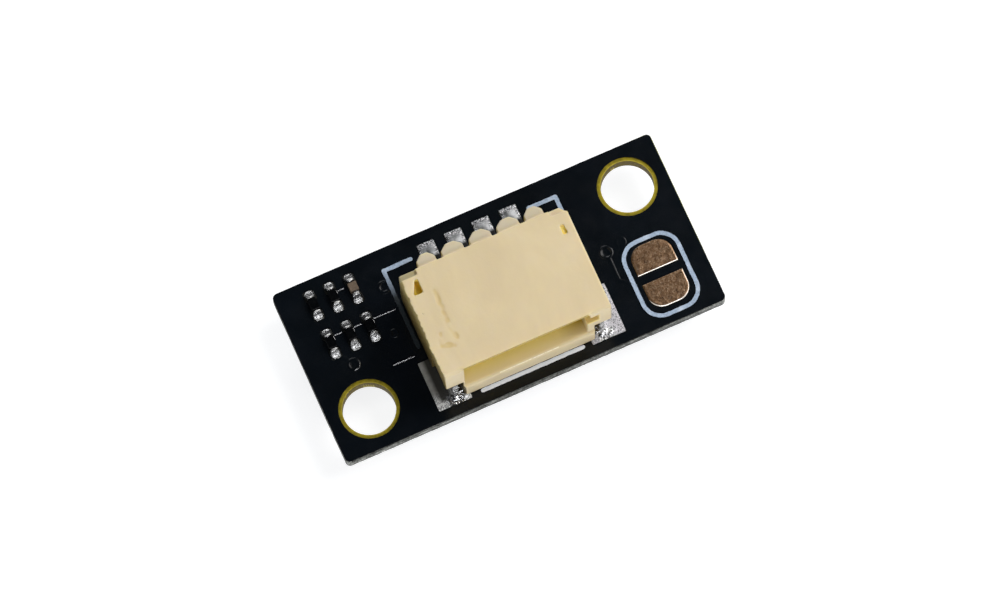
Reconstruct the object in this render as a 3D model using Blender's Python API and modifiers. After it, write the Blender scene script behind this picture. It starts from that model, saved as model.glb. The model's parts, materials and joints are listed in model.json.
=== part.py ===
"""Compact optical ranging module: a small black circuit board with a side-entry header.

Frame: +X along the board towards the solder jumper, +Y towards the header's soldered contacts,
+Z up. The header's mouth faces -Y. The origin is under the middle of the board, on the plane
that the ranging package on the underside rests on.
"""
import math

import bmesh
import bpy
from mathutils import Matrix, Vector

MM = 0.001

# ---- board -------------------------------------------------------------------------------
BOARD_LENGTH = 13.85 * MM
BOARD_WIDTH = 6.35 * MM
BOARD_THICKNESS = 0.6 * MM
BOARD_CORNER = 0.17 * MM
MASK_THICKNESS = 0.025 * MM
SKIN_GAP = 0.004 * MM
BOARD_BOTTOM = 1.05 * MM
BOARD_TOP = BOARD_BOTTOM + BOARD_THICKNESS
LAMINATE_BOTTOM = BOARD_BOTTOM + MASK_THICKNESS + SKIN_GAP
LAMINATE_TOP = BOARD_TOP - MASK_THICKNESS - SKIN_GAP
MASK_OPENING_MARGIN = 0.03 * MM
MASK_EDGE_INSET = 0.02 * MM

# ---- screw holes, on one diagonal ----------------------------------------------------------
HOLE_X = 5.49 * MM
HOLE_Y = 1.75 * MM
HOLE_DIAMETER = 1.8 * MM
HOLE_MASK_DIAMETER = 2.06 * MM
HOLE_SEGMENTS = 72

# ---- vias ----------------------------------------------------------------------------------
VIA_PLACES = ((3.9 * MM, -0.06 * MM), (-3.36 * MM, 1.89 * MM), (-5.34 * MM, -0.15 * MM))
VIA_DRILL = 0.3 * MM
VIA_BORE = 0.2 * MM
VIA_SEGMENTS = 20

# ---- header: 4 circuits at 1.0 mm pitch ------------------------------------------------------
# turns a shape drawn as (y, z) and raised along the third axis, so that it runs along X
ALONG_X = Matrix(((0, 0, 1, 0), (1, 0, 0, 0), (0, 1, 0, 0), (0, 0, 0, 1)))
PITCH = 1.0 * MM
CIRCUITS = 4
HEADER_Y = -0.03 * MM
HOUSING_WIDTH = 6.0 * MM
HOUSING_HEIGHT = 2.95 * MM
HOUSING_FRONT = -2.545 * MM
HOUSING_REAR = 1.27 * MM
RIB_REAR = 1.675 * MM
RIB_GAP = 0.22 * MM
RIB_SHORT_HALF = 0.27 * MM
RIB_DROP = 0.07 * MM
RIB_WAIST = 0.21 * MM
RIB_CHAMFER = 0.31
CAVITY_LEFT = -2.31 * MM
CAVITY_RIGHT = 2.12 * MM
CAVITY_FLOOR = 0.95 * MM
CAVITY_CEILING = 2.5 * MM
CAVITY_BACK = 0.65 * MM
MOUTH_FLARE = 0.36 * MM
ROOF_EDGE = 0.06 * MM
FLARE_RIGHT = 2.24 * MM
LIP_REACH = 0.1 * MM
LIP_HALF_WIDTH = 2.35 * MM
KEY_SLOT = (0.42 * MM, 0.6 * MM, 0.9 * MM)
KEY_SLOT_DROP = 0.04 * MM
REAR_STEP = (0.59 * MM, 0.21 * MM, 0.08 * MM)
TAB_RECESS_WIDTH = 0.62 * MM
TAB_RECESS_DEPTH = 1.25 * MM
TAB_RECESS_HEIGHT = 1.4 * MM
TOP_SLOT_LEFT_X = -2.64 * MM
TOP_SLOT_LEFT = (0.1 * MM, 0.33 * MM, 0.5 * MM)
TOP_SLOT_RIGHT_X = 2.63 * MM
TOP_SLOT_RIGHT = (0.14 * MM, 0.16 * MM, 0.34 * MM)
TOP_SLOT_Y = (0.68 * MM, 0.5 * MM)
TOP_SLOT_DEPTH = 0.5 * MM
HOUSING_LIFT = 0.03 * MM
HOUSING_EDGE = 0.04 * MM

# ---- contacts and tabs -----------------------------------------------------------------------
CONTACT_WIDTH = 0.2 * MM
CONTACT_THICKNESS = 0.16 * MM
CONTACT_HEIGHT = 1.72 * MM
CONTACT_TIP = -1.45 * MM
CONTACT_BEND = 1.52 * MM
CONTACT_TOE = 2.3 * MM
CONTACT_CLEARANCE = 0.02 * MM
CONTACT_TURN = 0.12 * MM
TAB_THICKNESS = 0.2 * MM
TAB_FOOT = 0.16 * MM
TAB_LENGTH = 1.12 * MM
TAB_X = 2.66 * MM

# ---- land pattern ------------------------------------------------------------------------------
PAD_THICKNESS = 0.04 * MM
PAD_CORNER = 0.03 * MM
SIGNAL_PAD = (0.6 * MM, 1.55 * MM)
SIGNAL_PAD_Y = 2.0 * MM
MOUNT_PAD = (1.2 * MM, 1.8 * MM)
MOUNT_PAD_X = 2.8 * MM
MOUNT_PAD_Y = -1.875 * MM
JUMPER_X = 5.26 * MM
JUMPER_Y = -1.44 * MM
JUMPER_WIDTH = 1.46 * MM
JUMPER_PAD_LENGTH = 0.96 * MM
JUMPER_GAP = 0.34 * MM
JUMPER_RADIUS = 0.5 * MM

# ---- chip parts on the top face ------------------------------------------------------------------
CHIP_COLUMNS = (-5.75 * MM, -5.03 * MM, -4.31 * MM)
CHIP_ROWS = (2.26 * MM, 0.81 * MM)
CHIP_LENGTH = 0.6 * MM
CHIP_WIDTH = 0.3 * MM
RESISTOR_HEIGHT = 0.23 * MM
CAPACITOR_HEIGHT = 0.3 * MM
RESISTOR_WRAP = 0.1 * MM
CAPACITOR_WRAP = 0.14 * MM
CHIP_SOLDER_REACH = 0.25 * MM
CHIP_PAD_WIDTH = 0.39 * MM
CHIP_MASK_MARGIN = 0.012 * MM
CHIP_GAP = 0.006 * MM
CHIP_STANDOFF = 0.02 * MM
CHIP_EDGE = 0.012 * MM

# ---- printed marks -----------------------------------------------------------------------------
PRINT_LINE = 0.16 * MM
PRINT_THICKNESS = 0.015 * MM
CORNER_MARK_X = 3.14 * MM
CORNER_MARK_Y = 2.44 * MM
CORNER_MARK_RUN = 0.98 * MM
CORNER_MARK_DROP = 2.9 * MM
FRONT_MARK_ENDS = (-1.78 * MM, 1.87 * MM)
FRONT_MARK_Y = -2.705 * MM
JUMPER_MARK = (2.1 * MM, 2.88 * MM)
JUMPER_MARK_Y = -1.5 * MM
JUMPER_MARK_RADIUS = 0.72 * MM

# ---- ranging package on the underside ----------------------------------------------------------
SENSOR_Y = -0.35 * MM
SENSOR_LENGTH = 4.4 * MM
SENSOR_WIDTH = 2.4 * MM
SENSOR_STANDOFF = 0.03 * MM
SUBSTRATE_THICKNESS = 0.28 * MM
SENSOR_CAP_HEIGHT = BOARD_BOTTOM - SENSOR_STANDOFF - SUBSTRATE_THICKNESS - 0.01 * MM
CAP_ROOF = 0.18 * MM
CAP_WALL = 0.2 * MM
EMITTER_X = -1.45 * MM
RECEIVER_X = 0.95 * MM
EMITTER_APERTURE = 0.62 * MM
RECEIVER_APERTURE = 1.0 * MM
APERTURE_FLARE = 0.12 * MM
WINDOW_THICKNESS = 0.12 * MM
SENSOR_MARK = (5.0 * MM, 3.0 * MM)
UNDER_CAPACITOR_X = 3.55 * MM
UNDER_CAPACITOR = (0.5 * MM, 1.0 * MM, 0.5 * MM)
UNDER_CAP_WRAP = 0.2 * MM
UNDER_PAD = (0.6 * MM, 0.42 * MM)


# ---- materials ---------------------------------------------------------------------------------
def surface(name, colour, roughness, metallic=0.0):
    material = bpy.data.materials.new(name)
    material.use_nodes = True
    shader = material.node_tree.nodes["Principled BSDF"]
    shader.inputs["Base Color"].default_value = (*colour, 1.0)
    shader.inputs["Roughness"].default_value = roughness
    shader.inputs["Metallic"].default_value = metallic
    material.diffuse_color = (*colour, 1.0)
    return material


def make_surfaces():
    return {
        "laminate": surface("laminate", (0.16, 0.155, 0.11), 0.8),
        "mask": surface("mask", (0.006, 0.009, 0.012), 0.3),
        "ivory": surface("ivory", (0.71, 0.6, 0.37), 0.45),
        "tin": surface("tin", (0.72, 0.72, 0.7), 0.25, 1.0),
        "solder": surface("solder", (0.6, 0.6, 0.6), 0.35, 1.0),
        "jumper": surface("jumper", (0.36, 0.26, 0.18), 0.45, 1.0),
        "resistor": surface("resistor", (0.01, 0.01, 0.012), 0.4),
        "capacitor": surface("capacitor", (0.3, 0.19, 0.11), 0.5),
        "print": surface("print", (0.45, 0.53, 0.66), 0.6),
        "substrate": surface("substrate", (0.02, 0.03, 0.022), 0.5),
        "package": surface("package", (0.012, 0.012, 0.013), 0.5),
        "window": surface("window", (0.05, 0.015, 0.03), 0.08),
        "die": surface("die", (0.28, 0.27, 0.32), 0.2, 0.8),
        "copper": surface("copper", (0.72, 0.4, 0.24), 0.35, 1.0),
    }


# ---- shape helpers -----------------------------------------------------------------------------
def clear_scene():
    for item in list(bpy.data.objects):
        bpy.data.objects.remove(item, do_unlink=True)


def add_object(name, bm, collection, material=None):
    bmesh.ops.recalc_face_normals(bm, faces=bm.faces)
    mesh = bpy.data.meshes.new(name)
    bm.to_mesh(mesh)
    bm.free()
    item = bpy.data.objects.new(name, mesh)
    collection.objects.link(item)
    if material:
        mesh.materials.append(material)
    return item


def add_box(bm, low, high):
    size = Vector(high) - Vector(low)
    middle = (Vector(high) + Vector(low)) / 2
    matrix = Matrix.Translation(middle) @ Matrix.Diagonal((*size, 1.0))
    bmesh.ops.create_cube(bm, size=1.0, matrix=matrix)


def add_cylinder(bm, x, y, low, high, diameter, segments):
    matrix = Matrix.Translation((x, y, (low + high) / 2))
    bmesh.ops.create_cone(bm, cap_ends=True, segments=segments, radius1=diameter / 2,
                          radius2=diameter / 2, depth=high - low, matrix=matrix)


def add_prism(bm, outline, low, high):
    """A flat outline of (x, y) points, raised from low to high."""
    bottom = [bm.verts.new((x, y, low)) for x, y in outline]
    face = bm.faces.new(bottom)
    raised = bmesh.ops.extrude_face_region(bm, geom=[face])["geom"]
    top = [part for part in raised if isinstance(part, bmesh.types.BMVert)]
    bmesh.ops.translate(bm, verts=top, vec=(0, 0, high - low))


def rounded_outline(x, y, width, length, radius, steps=6):
    points = []
    for corner, (sx, sy) in enumerate(((1, 1), (-1, 1), (-1, -1), (1, -1))):
        cx = x + sx * (width / 2 - radius)
        cy = y + sy * (length / 2 - radius)
        for step in range(steps + 1):
            angle = math.pi / 2 * (corner + step / steps)
            points.append((cx + radius * math.cos(angle), cy + radius * math.sin(angle)))
    return points


def line_outline(points, width):
    """The outline of a bent strip of the given width, mitred at its corners."""
    sides = ([], [])
    path = [Vector(point) for point in points]
    for index, point in enumerate(path):
        before = (point - path[index - 1]).normalized() if index else None
        after = (path[index + 1] - point).normalized() if index + 1 < len(path) else None
        before = before or after
        after = after or before
        normal = Vector((-before.y - after.y, before.x + after.x)).normalized()
        reach = width / 2 / max(normal.dot(Vector((-after.y, after.x))), 0.3)
        sides[0].append(tuple(point + normal * reach))
        sides[1].append(tuple(point - normal * reach))
    return sides[0] + sides[1][::-1]


def stroke_outline(points, width, steps=6):
    """The outline of a line drawn with a round nib: round ends and round outer corners."""
    path = [Vector(point) for point in points]
    there_and_back = path + path[-2:0:-1]
    count = len(there_and_back)
    outline = []
    for index, point in enumerate(there_and_back):
        before = (point - there_and_back[index - 1]).normalized()
        after = (there_and_back[(index + 1) % count] - point).normalized()
        turn = math.atan2(before.cross(after), before.dot(after))
        if abs(abs(turn) - math.pi) < 1e-6:
            turn = math.pi
        start = math.atan2(before.y, before.x) - math.pi / 2
        if turn < 0:
            middle = start + turn / 2
            reach = width / 2 / math.cos(turn / 2)
            outline.append((point.x + reach * math.cos(middle), point.y + reach * math.sin(middle)))
            continue
        for step in range(steps + 1):
            angle = start + turn * step / steps
            outline.append((point.x + width / 2 * math.cos(angle),
                            point.y + width / 2 * math.sin(angle)))
    return outline


def cut(target, cutter, operation="DIFFERENCE"):
    cutter.hide_render = True
    cutter.display_type = "WIRE"
    modifier = target.modifiers.new(cutter.name, "BOOLEAN")
    modifier.operation = operation
    modifier.solver = "EXACT"
    modifier.object = cutter


def soften(item, width, segments=2, angle=40):
    modifier = item.modifiers.new("soft edges", "BEVEL")
    modifier.width = width
    modifier.segments = segments
    modifier.limit_method = "ANGLE"
    modifier.angle_limit = math.radians(angle)
    modifier.use_clamp_overlap = True


# ---- places shared by several sub-parts ----------------------------------------------------------
def contact_places():
    return [PITCH * (index - (CIRCUITS - 1) / 2) for index in range(CIRCUITS)]


def signal_pad_outlines(margin=0.0):
    width, length = SIGNAL_PAD
    return [rounded_outline(x, SIGNAL_PAD_Y + HEADER_Y, width + 2 * margin, length + 2 * margin,
                            PAD_CORNER + margin, 3) for x in contact_places()]


def mount_pad_outlines(margin=0.0):
    width, length = MOUNT_PAD
    return [rounded_outline(side * MOUNT_PAD_X, MOUNT_PAD_Y + HEADER_Y, width + 2 * margin,
                            length + 2 * margin, PAD_CORNER + margin, 3) for side in (-1, 1)]


def jumper_pad_outline(side, margin=0.0):
    """One half of the jumper: straight across the gap, rounded at its far corners."""
    half = JUMPER_WIDTH / 2 + margin
    near = JUMPER_Y + side * (JUMPER_GAP / 2 - margin)
    far = JUMPER_Y + side * (JUMPER_GAP / 2 + JUMPER_PAD_LENGTH + margin)
    radius = JUMPER_RADIUS + margin
    points = [(JUMPER_X + half, near)]
    for turn, sx in ((0, 1), (1, -1)):
        cx = JUMPER_X + sx * (half - radius)
        cy = far - side * radius
        for step in range(9):
            angle = math.pi / 2 * (turn + step / 8)
            points.append((cx + radius * math.cos(angle), cy + side * radius * math.sin(angle)))
    points.append((JUMPER_X - half, near))
    return points if side > 0 else points[::-1]


def chip_places():
    """Name, x, y, height and body surface of the six chip parts, row by row."""
    places = []
    number = 0
    for y in CHIP_ROWS:
        for x in CHIP_COLUMNS:
            if y == CHIP_ROWS[0] and x == CHIP_COLUMNS[2]:
                places.append(("capacitor_1", x, y, CAPACITOR_HEIGHT, "capacitor"))
                continue
            number += 1
            places.append((f"resistor_{number}", x, y, RESISTOR_HEIGHT, "resistor"))
    return places


def chip_pad_outline(x, y, side, margin=0.0):
    inner = CHIP_LENGTH / 2 - CAPACITOR_WRAP - 0.01 * MM
    outer = CHIP_LENGTH / 2 + CHIP_SOLDER_REACH
    return rounded_outline(x, y + side * (inner + outer) / 2, CHIP_PAD_WIDTH + 2 * margin,
                           outer - inner + 2 * margin, 0.08 * MM + margin, 3)


# ---- board -------------------------------------------------------------------------------------
def board_cutter(name, cutters, outlines, circles, low, high):
    bm = bmesh.new()
    for outline in outlines:
        add_prism(bm, outline, low, high)
    for x, y, diameter, segments in circles:
        add_cylinder(bm, x, y, low, high, diameter, segments)
    return add_object(name, bm, cutters)


def screw_holes(diameter):
    return [(side * HOLE_X, side * HOLE_Y, diameter, HOLE_SEGMENTS) for side in (-1, 1)]


def board_plate(name, parts, low, high, inset, material):
    bm = bmesh.new()
    outline = rounded_outline(0, 0, BOARD_LENGTH - 2 * inset, BOARD_WIDTH - 2 * inset,
                              BOARD_CORNER - inset, 5)
    add_prism(bm, outline, low, high)
    return add_object(name, bm, parts, material)


def make_board(parts, cutters, surfaces):
    laminate = board_plate("board_laminate", parts, LAMINATE_BOTTOM, LAMINATE_TOP, 0,
                           surfaces["laminate"])
    drilled = [(x, y, VIA_DRILL + 2 * SKIN_GAP, VIA_SEGMENTS) for x, y in VIA_PLACES]
    cut(laminate, board_cutter("cut_laminate_holes", cutters, [],
                               screw_holes(HOLE_DIAMETER) + drilled, 0.5 * MM, 3 * MM))

    top = board_plate("solder_mask_top", parts, BOARD_TOP - MASK_THICKNESS, BOARD_TOP,
                      MASK_EDGE_INSET, surfaces["mask"])
    margin = MASK_OPENING_MARGIN
    openings = signal_pad_outlines(margin) + mount_pad_outlines(margin)
    openings += [jumper_pad_outline(side, margin) for side in (-1, 1)]
    openings += [chip_pad_outline(x, y, side, CHIP_MASK_MARGIN)
                 for _, x, y, _, _ in chip_places() for side in (-1, 1)]
    cut(top, board_cutter("cut_top_openings", cutters, openings,
                          screw_holes(HOLE_MASK_DIAMETER), 1.4 * MM, 3 * MM))

    bottom = board_plate("solder_mask_bottom", parts, BOARD_BOTTOM, BOARD_BOTTOM + MASK_THICKNESS,
                         MASK_EDGE_INSET, surfaces["mask"])
    openings = [under_pad_outline(x, y, margin) for x, y in under_pad_places()]
    cut(bottom, board_cutter("cut_bottom_openings", cutters, openings,
                             screw_holes(HOLE_MASK_DIAMETER), 0.8 * MM, 1.3 * MM))


def make_vias(parts, surfaces):
    for number, (x, y) in enumerate(VIA_PLACES, start=1):
        bm = bmesh.new()
        low = LAMINATE_BOTTOM
        high = LAMINATE_TOP
        profile = ((VIA_DRILL / 2, high), (VIA_DRILL / 2, low), (VIA_BORE / 2, low),
                   (VIA_BORE / 2, high))
        verts = [bm.verts.new((radius, 0, z)) for radius, z in profile]
        edges = [bm.edges.new((verts[index], verts[(index + 1) % 4])) for index in range(4)]
        bmesh.ops.spin(bm, geom=verts + edges, cent=(0, 0, 0), axis=(0, 0, 1),
                       angle=2 * math.pi, steps=VIA_SEGMENTS, use_merge=True)
        bmesh.ops.remove_doubles(bm, verts=bm.verts, dist=1e-7)
        barrel = add_object(f"via_barrel_{number}", bm, parts, surfaces["copper"])
        barrel.location = (x, y, 0)


# ---- header ------------------------------------------------------------------------------------
def rib_outline(left, right):
    """A rear rib seen from above: half a hexagon on straight sides."""
    root = HOUSING_REAR - 0.2 * MM
    waist = HOUSING_REAR + RIB_WAIST
    chamfer = (right - left) * RIB_CHAMFER
    return [(left, root), (right, root), (right, waist), (right - chamfer, RIB_REAR),
            (left + chamfer, RIB_REAR), (left, waist)]


def rib_spans():
    """Left and right edge of each rear rib; the outer two are cut short on their outer side."""
    spans = []
    for index in range(CIRCUITS + 1):
        x = PITCH * (index - CIRCUITS / 2)
        reach = (PITCH - RIB_GAP) / 2
        left = RIB_SHORT_HALF if index == 0 else reach
        right = RIB_SHORT_HALF if index == CIRCUITS else reach
        spans.append((x - left, x + right))
    return spans


def top_slot_outline(x, y, shape):
    """A slot that widens towards the front: rear width, front width, length."""
    rear, front, length = shape
    side = -1 if x < 0 else 1
    inner = x - side * front / 2
    return [(inner, y + length / 2), (inner + side * rear, y + length / 2),
            (inner + side * front, y - length / 2), (inner, y - length / 2)]


def header_cutter(name, bm, cutters):
    cutter = add_object(name, bm, cutters)
    cutter.location.y = HEADER_Y
    return cutter


def mouth_flare_cutter(top, cutters):
    """A wedge that slopes the roof's underside up to a thin front edge, where the plug goes in."""
    low = BOARD_TOP + CAVITY_CEILING - 0.05 * MM
    slope = (top - ROOF_EDGE - low) / MOUTH_FLARE
    ahead = 0.3 * MM
    section = [(HOUSING_FRONT + MOUTH_FLARE, low), (HOUSING_FRONT - ahead, low),
               (HOUSING_FRONT - ahead, top - ROOF_EDGE + slope * ahead)]
    bm = bmesh.new()
    add_prism(bm, section, CAVITY_LEFT, FLARE_RIGHT)
    bmesh.ops.transform(bm, verts=bm.verts, matrix=ALONG_X)
    return header_cutter("cut_mouth_flare", bm, cutters)


def make_housing(parts, cutters, surfaces):
    base = BOARD_TOP + HOUSING_LIFT
    top = BOARD_TOP + HOUSING_HEIGHT
    half = HOUSING_WIDTH / 2
    bm = bmesh.new()
    outline = [(-half, HOUSING_FRONT), (half, HOUSING_FRONT), (half, HOUSING_REAR - 0.25 * MM),
               (half - 0.2 * MM, HOUSING_REAR), (-half, HOUSING_REAR)]
    add_prism(bm, outline, base, top)
    housing = add_object("connector_housing", bm, parts, surfaces["ivory"])
    housing.location.y = HEADER_Y

    bm = bmesh.new()
    underside = base + HOUSING_EDGE + 0.01 * MM
    for left, right in rib_spans():
        add_prism(bm, rib_outline(left, right), underside, top - RIB_DROP)
    add_box(bm, (-LIP_HALF_WIDTH, HOUSING_FRONT - LIP_REACH, underside),
            (LIP_HALF_WIDTH, HOUSING_FRONT + 0.6 * MM, BOARD_TOP + CAVITY_FLOOR + 0.05 * MM))
    joined = header_cutter("join_ribs_and_lip", bm, cutters)
    soften(joined, HOUSING_EDGE / 2, 1)
    cut(housing, joined, "UNION")

    bm = bmesh.new()
    front = HOUSING_FRONT - 0.5 * MM
    add_box(bm, (CAVITY_LEFT, front, BOARD_TOP + CAVITY_FLOOR),
            (CAVITY_RIGHT, CAVITY_BACK, BOARD_TOP + CAVITY_CEILING))
    cut(housing, header_cutter("cut_cavity", bm, cutters))
    cut(housing, mouth_flare_cutter(top, cutters))

    bm = bmesh.new()
    recess = HOUSING_FRONT + TAB_RECESS_DEPTH
    step_x, step_y, step_z = REAR_STEP
    for side in (-1, 1):
        edges = sorted((side * (half - TAB_RECESS_WIDTH), side * (half + 0.5 * MM)))
        add_box(bm, (edges[0], front, BOARD_TOP - 0.2 * MM),
                (edges[1], recess, BOARD_TOP + TAB_RECESS_HEIGHT))
        edges = sorted((side * (half - step_x), side * (half + 0.5 * MM)))
        add_box(bm, (edges[0], HOUSING_REAR - step_y, top - step_z),
                (edges[1], HOUSING_REAR + 0.5 * MM, top + 0.4 * MM))
    slots = ((TOP_SLOT_LEFT_X, TOP_SLOT_LEFT), (TOP_SLOT_RIGHT_X, TOP_SLOT_RIGHT))
    for (x, shape), y in zip(slots, TOP_SLOT_Y):
        add_prism(bm, top_slot_outline(x, y, shape), top - TOP_SLOT_DEPTH, top + 0.3 * MM)
    cut(housing, header_cutter("cut_recesses_and_slots", bm, cutters))

    bm = bmesh.new()
    width, height, depth = KEY_SLOT
    ceiling = BOARD_TOP + CAVITY_CEILING - KEY_SLOT_DROP
    add_box(bm, (CAVITY_RIGHT - 0.02 * MM, front, ceiling - height),
            (CAVITY_RIGHT + width, HOUSING_FRONT + depth, ceiling))
    cut(housing, header_cutter("cut_key_slot", bm, cutters))

    bm = bmesh.new()
    for x in contact_places():
        reach = CONTACT_WIDTH / 2 + CONTACT_CLEARANCE
        height = BOARD_TOP + CONTACT_HEIGHT
        rise = CONTACT_THICKNESS / 2 + CONTACT_CLEARANCE
        add_box(bm, (x - reach, CAVITY_BACK - 0.2 * MM, height - rise),
                (x + reach, HOUSING_REAR + 0.6 * MM, height + rise))
    cut(housing, header_cutter("cut_contact_passages", bm, cutters))


def make_contacts(parts, surfaces):
    """Each contact: a pin in the cavity, a drop behind the housing and a toe on its pad."""
    height = BOARD_TOP + CONTACT_HEIGHT
    foot = LAMINATE_TOP + SKIN_GAP + PAD_THICKNESS + CHIP_GAP + CONTACT_THICKNESS / 2
    turn = CONTACT_TURN
    path = ((CONTACT_TIP, height), (CONTACT_BEND - turn, height), (CONTACT_BEND, height - turn),
            (CONTACT_BEND, foot + turn), (CONTACT_BEND + turn, foot), (CONTACT_TOE, foot))
    for number, x in enumerate(contact_places(), start=1):
        bm = bmesh.new()
        add_prism(bm, line_outline(path, CONTACT_THICKNESS), -CONTACT_WIDTH / 2,
                  CONTACT_WIDTH / 2)
        bmesh.ops.transform(bm, verts=bm.verts, matrix=ALONG_X)
        contact = add_object(f"contact_{number}", bm, parts, surfaces["tin"])
        contact.location = (x, HEADER_Y, 0)
        soften(contact, 0.02 * MM, 1)


def make_solder_tabs(parts, surfaces):
    base = LAMINATE_TOP + SKIN_GAP + PAD_THICKNESS + CHIP_GAP
    for side, name in ((-1, "solder_tab_left"), (1, "solder_tab_right")):
        inner = TAB_X - TAB_THICKNESS / 2
        outer = TAB_X + TAB_THICKNESS / 2
        foot = HOUSING_WIDTH / 2 - TAB_RECESS_WIDTH + 0.03 * MM
        crown = BOARD_TOP + TAB_RECESS_HEIGHT - 0.08 * MM
        section = [(foot, base), (outer, base), (outer, crown), (inner, crown),
                   (inner, base + TAB_FOOT), (foot, base + TAB_FOOT)]
        bm = bmesh.new()
        add_prism(bm, [(side * x, z) for x, z in section], 0, TAB_LENGTH)
        # section drawn as (x, z): lay it down so that it runs back along +Y
        bmesh.ops.transform(bm, verts=bm.verts,
                            matrix=Matrix(((1, 0, 0, 0), (0, 0, 1, 0), (0, 1, 0, 0), (0, 0, 0, 1))))
        tab = add_object(name, bm, parts, surfaces["tin"])
        tab.location = (0, HEADER_Y + HOUSING_FRONT + 0.05 * MM, 0)
        soften(tab, 0.025 * MM, 1)


# ---- pads --------------------------------------------------------------------------------------
def make_pad(name, outline, parts, material):
    bm = bmesh.new()
    low = LAMINATE_TOP + SKIN_GAP
    add_prism(bm, outline, low, low + PAD_THICKNESS)
    return add_object(name, bm, parts, material)


def make_pads(parts, surfaces):
    for number, outline in enumerate(signal_pad_outlines(), start=1):
        make_pad(f"signal_pad_{number}", outline, parts, surfaces["solder"])
    for name, outline in zip(("mount_pad_left", "mount_pad_right"), mount_pad_outlines()):
        make_pad(name, outline, parts, surfaces["solder"])
    for name, side in (("jumper_pad_rear", 1), ("jumper_pad_front", -1)):
        make_pad(name, jumper_pad_outline(side), parts, surfaces["jumper"])


# ---- chip parts ----------------------------------------------------------------------------------
def chip_body(name, x, y, low, width, length, height, parts, material):
    bm = bmesh.new()
    add_box(bm, (x - width / 2, y - length / 2, low), (x + width / 2, y + length / 2, low + height))
    body = add_object(name, bm, parts, material)
    soften(body, CHIP_EDGE, 1)
    return body


def chip_terminal(name, x, y, side, wrap, reach, widths, heights, parts, material):
    """End cap and its solder: a block on the chip's end that falls away to the pad's edge.

    widths are the cap's and the pad's; heights are the foot, the fillet's edge and the crown.
    The solder's plan narrows in a half round and its back is a hollow curve.
    """
    cap_width, pad_width = widths
    foot, edge, crown = heights
    stations = [(0.0, cap_width, crown), (wrap, cap_width, crown)]
    for step in range(1, 6):
        run = step / 5
        plan = pad_width * (1 - 0.45 * max(run - 0.5, 0) ** 2 / 0.25)
        fall = (1 - run) ** 1.6
        stations.append((wrap + reach * run, plan, edge + (crown - edge) * 0.85 * fall))
    bm = bmesh.new()
    rings = []
    for run, width, top in stations:
        place = y + side * run
        rise = top - foot
        shoulder = width * (0.485 if run <= wrap else 0.46)
        ring = [bm.verts.new((x + across, place, foot + up)) for across, up in (
            (-width / 2, 0), (width / 2, 0), (shoulder, rise * 0.72), (shoulder * 0.68, rise),
            (-shoulder * 0.68, rise), (-shoulder, rise * 0.72))]
        rings.append(ring)
    for first, second in zip(rings, rings[1:]):
        for index in range(6):
            after = (index + 1) % 6
            bm.faces.new((first[index], first[after], second[after], second[index]))
    bm.faces.new(rings[0])
    bm.faces.new(rings[-1])
    return add_object(name, bm, parts, material)


def make_chips(parts, surfaces):
    foot = LAMINATE_TOP + SKIN_GAP
    low = BOARD_TOP + CHIP_STANDOFF
    for name, x, y, height, body in chip_places():
        wrap = CAPACITOR_WRAP if body == "capacitor" else RESISTOR_WRAP
        chip_body(f"{name}_body", x, y, low, CHIP_WIDTH, CHIP_LENGTH - 2 * wrap - 2 * CHIP_GAP,
                  height, parts, surfaces[body])
        widths = (CHIP_WIDTH + 0.01 * MM, CHIP_PAD_WIDTH)
        heights = (foot, foot + 0.03 * MM, low + height + 0.012 * MM)
        for side, end in ((1, "rear"), (-1, "front")):
            chip_terminal(f"{name}_terminal_{end}", x, y + side * (CHIP_LENGTH / 2 - wrap), side,
                          wrap, CHIP_SOLDER_REACH, widths, heights, parts, surfaces["solder"])


# ---- printed marks ---------------------------------------------------------------------------------
def make_print(name, outline, low, parts, surfaces):
    bm = bmesh.new()
    add_prism(bm, outline, low, low + PRINT_THICKNESS)
    return add_object(name, bm, parts, surfaces["print"])


def ring_print(name, x, y, width, length, radius, low, parts, surfaces):
    """A printed outline: the strip between two rounded rectangles."""
    outer = rounded_outline(x, y, width, length, radius, 10)
    inner = rounded_outline(x, y, width - 2 * PRINT_LINE, length - 2 * PRINT_LINE,
                            max(radius - PRINT_LINE, 0.02 * MM), 10)
    bm = bmesh.new()
    loops = [[bm.verts.new((px, py, z)) for px, py in outline]
             for outline, z in ((outer, low), (inner, low), (inner, low + PRINT_THICKNESS),
                                (outer, low + PRINT_THICKNESS))]
    count = len(outer)
    for first, second in zip(loops, loops[1:] + loops[:1]):
        for index in range(count):
            after = (index + 1) % count
            bm.faces.new((first[index], first[after], second[after], second[index]))
    return add_object(name, bm, parts, surfaces["print"])


def make_prints(parts, surfaces):
    low = BOARD_TOP + SKIN_GAP
    corner_y = CORNER_MARK_Y + HEADER_Y
    for side, name in ((-1, "print_corner_left"), (1, "print_corner_right")):
        x = side * CORNER_MARK_X
        path = ((x - side * CORNER_MARK_RUN, corner_y), (x, corner_y),
                (x, corner_y - CORNER_MARK_DROP))
        make_print(name, stroke_outline(path, PRINT_LINE), low, parts, surfaces)
    front = FRONT_MARK_Y + HEADER_Y
    path = [(x, front) for x in FRONT_MARK_ENDS]
    make_print("print_front_line", stroke_outline(path, PRINT_LINE), low, parts, surfaces)
    ring_print("print_jumper_outline", JUMPER_X, JUMPER_MARK_Y, *JUMPER_MARK, JUMPER_MARK_RADIUS, low,
               parts, surfaces)
    ring_print("print_sensor_outline", 0, SENSOR_Y, *SENSOR_MARK, 0.1 * MM,
               BOARD_BOTTOM - SKIN_GAP - PRINT_THICKNESS, parts, surfaces)


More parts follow.
